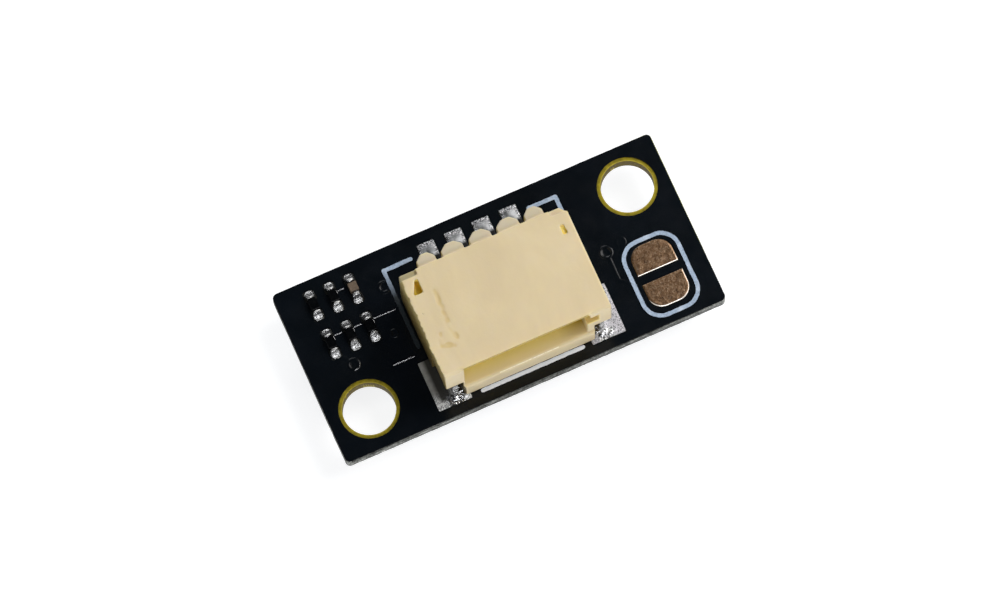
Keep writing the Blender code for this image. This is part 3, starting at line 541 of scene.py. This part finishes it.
def print_paint():
    """Cool white printing ink: grainy, with painted light making the front line brighter and painted
    shade darkening the left line beside the housing.
    """
    p = Paint("printing_ink", Specular_IOR_Level=0.35)
    ink = p.ramp(p.noise(16, 4, 0.7), (0.2, (0.17, 0.225, 0.31)), (0.5, (0.34, 0.43, 0.56)),
                 (0.85, (0.50, 0.60, 0.74)))
    x, y, _ = p.axes()
    # Painted light: the front line is brighter.
    front = p.times(p.span(y, -2.5, -2.6), p.near(x, 0.0, 2.5))
    ink = p.mix(front, ink, (0.86, 0.89, 0.95))
    ink = p.mix(p.span(p.noise(2.2, 2), 0.55, 0.8, 0.0, 0.45), ink, (0.80, 0.86, 0.95))
    # Painted shade: the left line fades to near black beside the housing.
    shaded_leg = p.times(p.near(x, -3.14, 0.2), p.span(y, 2.4, 1.4))
    p.set("Base Color", p.mix(shaded_leg, ink, (0.012, 0.018, 0.022)))
    p.set("Roughness", p.span(p.noise(8, 3), 0.3, 0.7, 0.5, 0.75))
    p.relief(p.noise(18, 4, 0.7), 0.008)
    return p.material


def speckled_paint(name, dark, light, rough, scale, depth, specular=0.5):
    """A plain moulded, glazed or fired surface with fine speckle."""
    p = Paint(name, Specular_IOR_Level=specular)
    p.set("Base Color", p.ramp(p.noise(scale, 5, 0.65), (0.3, dark), (0.7, light)))
    p.set("Roughness", p.span(p.noise(scale * 0.5, 3), 0.3, 0.7, *rough))
    p.relief(p.noise(scale * 1.5, 4, 0.6), depth)
    return p.material


def window_paint():
    """Dark infrared filter glass."""
    p = Paint("infrared_filter", Specular_IOR_Level=0.6, Coat_Weight=0.4, Coat_Roughness=0.05)
    p.set("Base Color", p.ramp(p.noise(2.5, 2), (0.3, (0.020, 0.004, 0.014)),
                               (0.7, (0.045, 0.010, 0.030))))
    p.set("Roughness", p.span(p.noise(6, 3), 0.3, 0.7, 0.04, 0.12))
    p.relief(p.noise(3, 2), 0.0008)
    return p.material


def die_paint():
    """Silicon with a fine grid of cells under a thin film."""
    p = Paint("silicon_die", Metallic=0.85)
    grid = p.math("MAXIMUM", p.wave(8, "X", 0, "SAW"), p.wave(8, "Y", 0, "SAW"))
    tint = p.ramp(p.noise(1.2, 3), (0.3, (0.16, 0.12, 0.26)), (0.7, (0.16, 0.25, 0.30)))
    p.set("Base Color", p.mix(p.span(grid, 0.86, 0.95), tint, (0.55, 0.5, 0.42)))
    p.set("Roughness", p.span(grid, 0.6, 1.0, 0.12, 0.3))
    p.relief(grid, 0.001)
    return p.material


def floor_paint():
    """A matt, pale floor that glows enough to read as nearly white."""
    p = Paint("pale_floor", Specular_IOR_Level=0.1, Emission_Strength=FLOOR_GLOW,
              Emission_Color=(0.985, 0.99, 1.0))
    p.set("Base Color", p.ramp(p.noise(0.05, 3), (0.3, (0.37, 0.375, 0.37)),
                               (0.7, (0.39, 0.395, 0.39))))
    p.set("Roughness", p.span(p.noise(0.4, 3), 0.3, 0.7, 0.7, 0.85))
    p.relief(p.noise(2.0, 3), 0.004)
    return p.material


def make_paints():
    """The record's material slots, and the finishes that only some nodes or pieces have."""
    return {
        "solder_mask": mask_paint(),
        "raised_mask": mask_paint("raised_solder_mask", 1.0, 1.0, 2.0),
        "laminate": laminate_paint(),
        "housing_plastic": ivory_paint(),
        "solder": end_cap_paint(),
        "dull_tin": plated_paint("dull_tin", (0.07, 0.07, 0.072), (0.34, 0.34, 0.345),
                                 (0.34, 0.5), 13, 0.006),
        "left_tin": left_tin_paint(),
        "crumpled_tin": plated_paint("crumpled_tin", (0.02, 0.02, 0.02), (1.0, 1.0, 1.0),
                                     (0.06, 0.16), 15, 0.03),
        "smooth_solder": pad_solder_paint(),
        "grainy_solder": right_tin_paint(),
        "jumper_finish": jumper_paint(),
        "white_print": print_paint(),
        "resistor_body": speckled_paint("black_glaze", (0.0008, 0.001, 0.0015),
                                        (0.002, 0.0025, 0.003), (0.16, 0.26), 12, 0.003, 0.12),
        "capacitor_ceramic": speckled_paint("brown_ceramic", (0.075, 0.052, 0.030),
                                            (0.15, 0.105, 0.068), (0.4, 0.6), 14, 0.003),
        "package_substrate": speckled_paint("package_substrate", (0.012, 0.02, 0.014),
                                            (0.024, 0.035, 0.026), (0.35, 0.55), 8, 0.003),
        "package_cap": speckled_paint("package_cap", (0.008, 0.008, 0.009),
                                      (0.02, 0.02, 0.022), (0.45, 0.65), 10, 0.006),
        "filter_glass": window_paint(),
        "silicon": die_paint(),
        "copper": plated_paint("bare_copper", (0.45, 0.22, 0.12), (0.8, 0.45, 0.28),
                               (0.25, 0.45), 8, 0.004),
    }


OWN_FINISH = {"solder_tab": "crumpled_tin", "contact": "dull_tin"}


def paint_nodes():
    """Every CAD node gets its slot's material; contacts and solder tabs get a finish of their own."""
    for part in frame["record"]["subparts"]:
        family = part["node"].rsplit("_", 1)[0]
        finish = OWN_FINISH.get(family, part["material_slot"])
        slots = NODES[part["node"]].data.materials
        slots.clear()
        slots.append(PAINTS[finish])


# ---- mesh helpers -----------------------------------------------------------------------------
SAWN_ANGLE = 30                      # edges sharper than this, in degrees, stay sharp
CRISP_ANGLE = 35
SOFT_ANGLE = 60
ALL_SMOOTH = 180


def ripple(x, y, scale, seed=0.0):
    return noise.noise(Vector((x * scale, y * scale, seed)))


def bell(value, width):
    return math.exp(-(value / width) ** 2)


def node_shape(name, whole_faces=True):
    """The CAD node's shape as a bmesh with its corners welded."""
    bm = bmesh.new()
    bm.from_mesh(NODES[name].data)
    bmesh.ops.remove_doubles(bm, verts=bm.verts, dist=1e-7)
    if whole_faces:
        bmesh.ops.dissolve_limit(bm, angle_limit=math.radians(0.5), verts=bm.verts, edges=bm.edges)
    return bm


def add_vert(bm, x, y, z):
    """A vertex at a place given in millimetres."""
    return bm.verts.new((x * MM, y * MM, z * MM))


def skin(bm, loops):
    """Faces all the way round between each loop of vertices and the next."""
    count = len(loops[0])
    for first, second in zip(loops, loops[1:]):
        for index in range(count):
            after = (index + 1) % count
            bm.faces.new((first[index], first[after], second[after], second[index]))


def finely(corners, step):
    """Points about a step apart on a line through the corners, without its first corner."""
    points = []
    for start, end in zip(corners, corners[1:]):
        count = max(1, round((end - start).length / step))
        points += [start.lerp(end, (index + 1) / count) for index in range(count)]
    return points


def add_piece(name, bm, slot, smooth_angle, stands_for=(), paint=None):
    """Turns a bmesh into a piece on the body, with its slot's material or the named one."""
    bmesh.ops.recalc_face_normals(bm, faces=bm.faces)
    mesh = bpy.data.meshes.new(name)
    bm.to_mesh(mesh)
    bm.free()
    mesh.materials.append(PAINTS[paint or slot])
    mesh.shade_smooth()
    mesh.set_sharp_from_angle(angle=math.radians(smooth_angle))
    piece = bpy.data.objects.new(name, mesh)
    bpy.context.scene.collection.objects.link(piece)
    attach(piece, "root")
    if stands_for:
        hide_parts(*stands_for)
    return piece


# ---- header housing -----------------------------------------------------------------------------
MOULD_GRAIN = 0.03
MOULD_SMOOTHING = 3
MOULD_THINNING = 0.3
LIP_RADIUS = 0.13
ARM_FRONT = -2.575
ARM_RADIUS = 0.14
EDGE_REACH = 0.2                     # how far down and inwards the left edge is worn
EDGE_WEAR = 0.035
EDGE_BULGE = 0.045
MARK_DEPTH = 0.012
MARK_WIDTH = 0.085


def round_over(points, chosen, axis_y, axis_z, radius):
    """Pulls chosen points past a quarter cylinder along X, at the front and top, back on to it."""
    dy = axis_y - points[:, 1]
    dz = points[:, 2] - axis_z
    reach = np.hypot(dy, dz)
    past = chosen & (dy > 0) & (dz > 0) & (reach > radius)
    scale = np.where(past, radius / np.maximum(reach, 1e-9), 1.0)
    points[:, 1] = np.where(past, axis_y - dy * scale, points[:, 1])
    points[:, 2] = np.where(past, axis_z + dz * scale, points[:, 2])


def path_distance(point, path):
    best = math.inf
    for start, end in zip(path, path[1:]):
        start, end = Vector(start), Vector(end)
        along = max(0, min(1, (point - start).dot(end - start) / (end - start).length_squared))
        best = min(best, (point - start.lerp(end, along)).length)
    return best


def soft_moulding():
    """The housing's CAD shape as a fine, even mesh with softened edges."""
    draft = bpy.data.objects.new("draft", NODES["connector_housing"].data.copy())
    bpy.context.scene.collection.objects.link(draft)
    remesh = draft.modifiers.new("grain", "REMESH")
    remesh.mode = "VOXEL"
    remesh.voxel_size = MOULD_GRAIN * MM
    draft.modifiers.new("rounding", "SMOOTH").iterations = MOULD_SMOOTHING
    bpy.context.view_layer.update()
    softened = draft.evaluated_get(bpy.context.evaluated_depsgraph_get())
    mesh = bpy.data.meshes.new_from_object(softened)
    bpy.data.objects.remove(draft)
    return mesh


def round_edges(points):
    """Rounds the lip and the fronts of the arms, and fills the roof's slots up to their floors."""
    x, y, z = points.T
    lip = (z < LIP_TOP + 0.09) & (y < HOUSING_LOW.y + 0.4) & (np.abs(x) < 2.4)
    round_over(points, lip, HOUSING_LOW.y + LIP_RADIUS, LIP_TOP - LIP_RADIUS, LIP_RADIUS)
    arms = (z > ROOF - 0.3) & ((x < -2.33) | (x > 2.27)) & (y < -2.2)
    round_over(points, arms, ARM_FRONT + ARM_RADIUS, ROOF - ARM_RADIUS, ARM_RADIUS)
    for slot_x, slot_y, depth, _, _ in TOP_SLOTS:
        slot = (np.abs(x - slot_x) < 0.24) & (np.abs(y - slot_y) < 0.34) & (z > ROOF - 0.7)
        points[slot, 2] = np.maximum(points[slot, 2], ROOF - depth)


def wear_surface(points):
    """Makes the left edge slightly ragged and presses the shallow mark into the roof."""
    for index, (x, y, z) in enumerate(points):
        if x < HOUSING_LOW.x + EDGE_REACH and z > ROOF - EDGE_REACH:
            near = 1 - (ROOF - z) / EDGE_REACH
            ragged = 0.2 + noise.noise(Vector((1.0, y * 5, z * 3)))
            ragged += 0.9 * noise.noise(Vector((4.0, y * 14, z)))
            points[index][0] += (EDGE_WEAR * ragged - EDGE_BULGE * bell(y + 1.6, 0.7)) * near
        elif z > ROOF - 0.03 and MARK_LEFT < x < MARK_RIGHT and y < MARK_REAR:
            pressed = bell(path_distance(Vector((x, y)), MARK_PATH), MARK_WIDTH)
            points[index][2] -= MARK_DEPTH * pressed * (1 + 2 * ripple(x, y, 4, 9))


def make_housing():
    """The moulded housing with soft edges, a rounded lip and a slightly ragged left edge."""
    mesh = soft_moulding()
    points = np.empty(len(mesh.vertices) * 3)
    mesh.vertices.foreach_get("co", points)
    points = points.reshape(-1, 3) / MM
    round_edges(points)
    wear_surface(points)
    mesh.vertices.foreach_set("co", (points * MM).ravel())
    bm = bmesh.new()
    bm.from_mesh(mesh)
    bpy.data.meshes.remove(mesh)
    piece = add_piece("housing_moulding", bm, "housing_plastic", ALL_SMOOTH, ("connector_housing",))
    piece.modifiers.new("thinning", "DECIMATE").ratio = MOULD_THINNING


# ---- copper relief under the mask ---------------------------------------------------------------
RIDGE_PROFILE = ((-0.5, -0.25), (-0.36, 0.4), (-0.2, 0.9), (0, 1.0), (0.2, 0.9), (0.36, 0.4),
                 (0.5, -0.25))       # across the width, up the height
RING_FLOOR = 0.002
RING_STEPS = 32
GLINT_STEPS = 12


def ridge(bm, path, width, base, height):
    """A low rounded ridge along a path, closed at both ends."""
    corners = [Vector(corner) for corner in path]
    points = corners[:1] + finely(corners, TRACE_STEP)
    rings = []
    for index, point in enumerate(points):
        crown = height * (0.85 + 0.3 * ripple(point.x, point.y, 22, 7))
        before = (point - points[index - 1]).normalized() if index else None
        after = (points[index + 1] - point).normalized() if index + 1 < len(points) else None
        before = before or after
        after = after or before
        across = Vector((-before.y - after.y, before.x + after.x)).normalized()
        across /= max(across.dot(Vector((-after.y, after.x))), 0.4)
        rings.append([add_vert(bm, point.x + across.x * width * side,
                               point.y + across.y * width * side, base + crown * up)
                      for side, up in RIDGE_PROFILE])
    skin(bm, rings)
    bm.faces.new(rings[0])
    bm.faces.new(rings[-1][::-1])


def ring_mound(bm, x, y, radius, hollow, base, height):
    """A raised ring with a dimple in its middle, where mask lies over a via."""
    profile = ((radius, -0.6), (radius * 0.94, 0.4), (radius * 0.82, 0.9), (radius * 0.66, 1.0),
               ((radius + hollow) * 0.42, 0.85), (hollow * 0.8, 0.15), (hollow * 0.4, 0.03))
    turns = [math.tau * step / RING_STEPS for step in range(RING_STEPS)]
    rings = [[add_vert(bm, x + reach * math.cos(turn), y + reach * math.sin(turn),
                       base + RING_FLOOR + height * up) for turn in turns]
             for reach, up in profile]
    skin(bm, rings)
    bm.faces.new(rings[0][::-1])
    bm.faces.new(rings[-1])


def make_relief():
    """Tracks and vias that show as low relief under the mask."""
    base = box_mm("solder_mask_top")[1].z
    bm = bmesh.new()
    for path in SHARP_TRACES:
        ridge(bm, path, SHARP_WIDTH, base, SHARP_HEIGHT)
    x, y, radius, start, sweep = VIA_GLINT
    turns = [start + sweep * step / GLINT_STEPS for step in range(GLINT_STEPS + 1)]
    arc = [(x + radius * math.cos(turn), y + radius * math.sin(turn)) for turn in turns]
    ridge(bm, arc, VIA_GLINT_WIDTH, base, SHARP_HEIGHT)
    add_piece("covered_traces", bm, "solder_mask", SOFT_ANGLE, paint="raised_mask")
    bm = bmesh.new()
    for width, height, path in FAINT_TRACES:
        ridge(bm, path, width, base, height)
    add_piece("faint_traces", bm, "solder_mask", SOFT_ANGLE)
    bm = bmesh.new()
    for x, y, radius, hollow, height in VIA_SPOTS:
        ring_mound(bm, x, y, radius, hollow, base, height)
    add_piece("covered_vias", bm, "solder_mask", SOFT_ANGLE)


# ---- solder and pads -----------------------------------------------------------------------------
OUTLINE_STEP = 0.035
LAND_STEP = 0.03
MOUND_FOOT = 0.03                    # how far a mound reaches down into its pad
TIN_RISE = 0.012
LAND_RISE = 0.022
PAD_SEED = 3.7


def top_outline(name, step):
    """The outline of a CAD node's flat top face, as points about a step apart."""
    bm = node_shape(name)
    face = max((f for f in bm.faces if f.normal.z > 0.9), key=lambda f: f.calc_area())
    corners = [Vector((v.co.x, v.co.y)) / MM for v in face.verts]
    bm.free()
    return finely(corners + corners[:1], step)


def mound(bm, outline, base, rise, rings):
    """A closed low blob over a convex outline. rise(x, y, t) is its height, t = 1 at the rim."""
    middle = sum(outline, Vector((0, 0))) / len(outline)
    loops = [[add_vert(bm, *point, base - MOUND_FOOT) for point in outline]]
    for ring in range(rings, 0, -1):
        share = 1 - (1 - ring / rings) ** 1.6
        places = [middle.lerp(point, share) for point in outline]
        loops.append([add_vert(bm, x, y, base + rise(x, y, share)) for x, y in places])
    skin(bm, loops)
    bm.faces.new(loops[0][::-1])
    peak = add_vert(bm, *middle, base + rise(*middle, 0))
    last = loops[-1]
    for index, vert in enumerate(last):
        bm.faces.new((vert, last[(index + 1) % len(last)], peak))


def make_signal_solder():
    """Solder on the four signal pads: banked against each contact's sides and toe."""
    for number in range(1, 5):
        name = f"signal_pad_{number}"
        low, high = box_mm(name)
        toe = box_mm(f"contact_{number}")[1].y
        middle = (low.x + high.x) / 2
        seed = number * PAD_SEED

        def rise(x, y, t):
            aside = max(abs(x - middle) - 0.09, 0)
            past = max(y - toe, 0)
            bank = 0.006 * bell(aside, 0.11) * math.exp(-past / 0.16)
            lump = 0.012 * ripple(x, y, 5, seed) + 0.003 * ripple(x, y, 19, seed)
            return (TIN_RISE + bank + lump) * (1 - t ** 26)

        bm = bmesh.new()
        mound(bm, top_outline(name, OUTLINE_STEP), high.z, rise, rings=14)
        add_piece(f"signal_solder_{number}", bm, "solder", SOFT_ANGLE, (name,), "smooth_solder")


def make_mount_solder():
    """The two big pads, tinned flat, with solder heaped against the tabs at their front."""
    for side, label, paint in ((-1, "left", "left_tin"), (1, "right", "grainy_solder")):
        name = f"mount_pad_{label}"
        heap_x = side * HEAP_X
        front = box_mm(f"solder_tab_{label}")[0].y

        def rise(x, y, t):
            heap = 0.12 * bell(x - heap_x, 0.16) * bell(min(y - front + 0.04, 0), 0.1)
            blob = 0.1 * bell(x - heap_x - 0.3, 0.12) * bell(y - front + 0.12, 0.1)
            lump = 0.003 * ripple(x, y, 3, side) + 0.004 * ripple(x, y, 14, side)
            rough = bell(x - heap_x + 0.02, 0.13) * bell(y - front + 0.02, 0.14)
            rough *= 0.05 * ripple(x, y, 13, 4)
            return (TIN_RISE + heap + blob + lump + rough) * (1 - t ** 14)

        bm = bmesh.new()
        mound(bm, top_outline(name, OUTLINE_STEP), box_mm(name)[1].z, rise, rings=22)
        add_piece(f"mount_solder_{label}", bm, "solder", SOFT_ANGLE, (name,), paint)


def make_jumper_pads():
    """The jumper's two halves: flat, with rolled edges that catch the light."""
    def rise(x, y, t):
        return (LAND_RISE + 0.003 * ripple(x, y, 5)) * (1 - t ** 60)

    for label in ("rear", "front"):
        name = f"jumper_pad_{label}"
        bm = bmesh.new()
        mound(bm, top_outline(name, LAND_STEP), box_mm(name)[1].z, rise, rings=20)
        add_piece(f"jumper_land_{label}", bm, "jumper_finish", SOFT_ANGLE, (name,))


def make_chip_solder():
    """Every chip's end caps with their solder, rounded as they froze."""
    for node in list(NODES):
        if "_terminal_" not in node:
            continue
        bm = node_shape(node)
        piece = add_piece(node.replace("_terminal_", "_solder_"), bm, "solder", ALL_SMOOTH, (node,))
        rounding = piece.modifiers.new("rounding", "SUBSURF")
        rounding.levels = rounding.render_levels = 2


# ---- printed marks and the board's cut edge --------------------------------------------------------
PRINT_STEP = 0.03
PRINT_WANDER = 0.012
PRINT_SHRINK = 0.011
PRINT_SPREAD = 0.006
CUT_STEP = 0.07
CUT_ROUGHNESS = 0.016
CUT_RIM = 0.18


def finer(bm, step, wanted):
    """Cuts the level edges that wanted(edge) picks into stretches about as long as step."""
    counts = {}
    for edge in bm.edges:
        level = abs(edge.verts[0].co.z - edge.verts[1].co.z) < 1e-7
        if level and wanted(edge):
            cuts = round(edge.calc_length() / MM / step) - 1
            if cuts > 0:
                counts.setdefault(cuts, []).append(edge)
    for cuts, edges in counts.items():
        bmesh.ops.subdivide_edges(bm, edges=edges, cuts=cuts)


def make_prints():
    """Ink with a slightly uneven edge, a little narrower than its artwork."""
    for node in list(NODES):
        if not node.startswith("print_"):
            continue
        bm = node_shape(node)
        finer(bm, PRINT_STEP, lambda edge: len(edge.link_faces) == 2 and edge.calc_face_angle(0) > 1)
        bm.normal_update()
        for vert in bm.verts:
            out = Vector((vert.normal.x, vert.normal.y, 0))
            if out.length < 0.1:
                continue
            x, y = vert.co.x / MM, vert.co.y / MM
            shift = PRINT_WANDER * (ripple(x, y, 5, 2) + 0.7 * ripple(x, y, 17, 5)) - PRINT_SHRINK
            vert.co += out.normalized() * min(shift, PRINT_SPREAD) * MM
        add_piece(node.replace("print_", "ink_"), bm, "white_print", CRISP_ANGLE, (node,))


def make_board_core():
    """The laminate with its sawn edge: torn strands, never outside the true outline."""
    bm = node_shape("board_laminate", whole_faces=False)
    low, high = box_mm("board_laminate")

    def on_rim(vert):
        x, y, _ = vert.co / MM
        return min(x - low.x, high.x - x) < CUT_RIM or min(y - low.y, high.y - y) < CUT_RIM

    finer(bm, CUT_STEP, lambda edge: all(on_rim(vert) for vert in edge.verts))
    middle = (low + high) / 2
    for vert in bm.verts:
        if not on_rim(vert):
            continue
        x, y, z = vert.co / MM
        bite = CUT_ROUGHNESS * (0.5 + 0.5 * ripple(x + y, z * 9, 5) + 0.5 * ripple(x + y, z * 9, 14))
        inward = Vector((middle.x - x, middle.y - y, 0))
        along = Vector((math.copysign(1, inward.x) if abs(inward.x) > high.x - CUT_RIM else 0,
                        math.copysign(1, inward.y) if abs(inward.y) > high.y - CUT_RIM else 0, 0))
        vert.co += along * max(bite, 0) * MM
    add_piece("board_core", bm, "laminate", SAWN_ANGLE, ("board_laminate",))


# ---- stage ---------------------------------------------------------------------------------------
FLOOR_SIZE = 1.2                     # metres
FLOOR_CELLS = 12
FLOOR_GAP = 0.01
LIGHTS = (                           # name, place, width and depth, power, colour
    ("key", (175, 25, 205), (190, 190), 0.64, (1.0, 0.985, 0.96)),
    ("front", (-30, -240, 110), (200, 60), 0.36, (0.97, 0.98, 1.0)),
    ("rear", (25, 230, 120), (150, 50), 0.2, (0.97, 0.98, 1.0)),
)
LIGHT_TARGET = (0, 0, 1.5)
SKY_LOW = (0.05, (0.5, 0.51, 0.52, 1))
SKY_HIGH = (0.7, (0.07, 0.075, 0.085, 1))
SKY_STRENGTH = 0.6


def add_camera():
    middle = (CAD_BOX[0] + CAD_BOX[1]) / 2 + Vector(AIM) * MM
    azimuth, elevation, roll = (math.radians(angle) for angle in (AZIMUTH, ELEVATION, ROLL))
    back = Vector((math.sin(azimuth) * math.cos(elevation),
                   -math.cos(azimuth) * math.cos(elevation), math.sin(elevation)))
    level = Vector((math.cos(azimuth), math.sin(azimuth), 0))
    rise = back.cross(level)
    right = level * math.cos(roll) + rise * math.sin(roll)
    up = rise * math.cos(roll) - level * math.sin(roll)
    data = bpy.data.cameras.new("camera")
    data.lens = LENS
    data.sensor_width = SENSOR_WIDTH
    data.clip_start = 0.01
    data.clip_end = 5
    camera = bpy.data.objects.new("camera", data)
    bpy.context.scene.collection.objects.link(camera)
    rotation = Matrix((right, up, back)).transposed().to_4x4()
    camera.matrix_world = Matrix.Translation(middle + back * DISTANCE * MM) @ rotation
    bpy.context.scene.camera = camera


def add_light(name, place, size, power, colour):
    data = bpy.data.lights.new(name, "AREA")
    data.shape = "RECTANGLE"
    data.size, data.size_y = (length * MM for length in size)
    data.energy = power
    data.color = colour
    light = bpy.data.objects.new(name, data)
    light.location = Vector(place) * MM
    towards = Vector(LIGHT_TARGET) * MM - light.location
    light.rotation_euler = towards.to_track_quat("-Z", "Y").to_euler()
    bpy.context.scene.collection.objects.link(light)


def add_floor():
    bm = bmesh.new()
    bmesh.ops.create_grid(bm, x_segments=FLOOR_CELLS, y_segments=FLOOR_CELLS, size=FLOOR_SIZE / 2)
    bmesh.ops.translate(bm, verts=bm.verts, vec=(0, 0, CAD_BOX[0].z - FLOOR_GAP * MM))
    mesh = bpy.data.meshes.new("floor")
    bm.to_mesh(mesh)
    bm.free()
    mesh.materials.append(floor_paint())
    floor = bpy.data.objects.new("floor", mesh)
    bpy.context.scene.collection.objects.link(floor)


def add_world():
    """A dim studio, brighter low down than overhead."""
    world = bpy.data.worlds.new("studio")
    bpy.context.scene.world = world
    world.use_nodes = True
    tree = world.node_tree
    spot = tree.nodes.new("ShaderNodeTexCoord")
    split = tree.nodes.new("ShaderNodeSeparateXYZ")
    ramp = tree.nodes.new("ShaderNodeValToRGB")
    for point, (position, colour) in zip(ramp.color_ramp.elements, (SKY_LOW, SKY_HIGH)):
        point.position = position
        point.color = colour
    tree.links.new(spot.outputs["Generated"], split.inputs[0])
    tree.links.new(split.outputs[2], ramp.inputs[0])
    tree.links.new(ramp.outputs[0], tree.nodes["Background"].inputs["Color"])
    tree.nodes["Background"].inputs["Strength"].default_value = SKY_STRENGTH


def light_stage():
    add_world()
    for light in LIGHTS:
        add_light(*light)
    scene = bpy.context.scene
    scene.view_settings.view_transform = "Standard"
    scene.view_settings.look = "None"


add_camera()
PAINTS = make_paints()
paint_nodes()
make_housing()
make_relief()
make_signal_solder()
make_mount_solder()
make_jumper_pads()
make_chip_solder()
make_prints()
make_board_core()
add_floor()
light_stage()
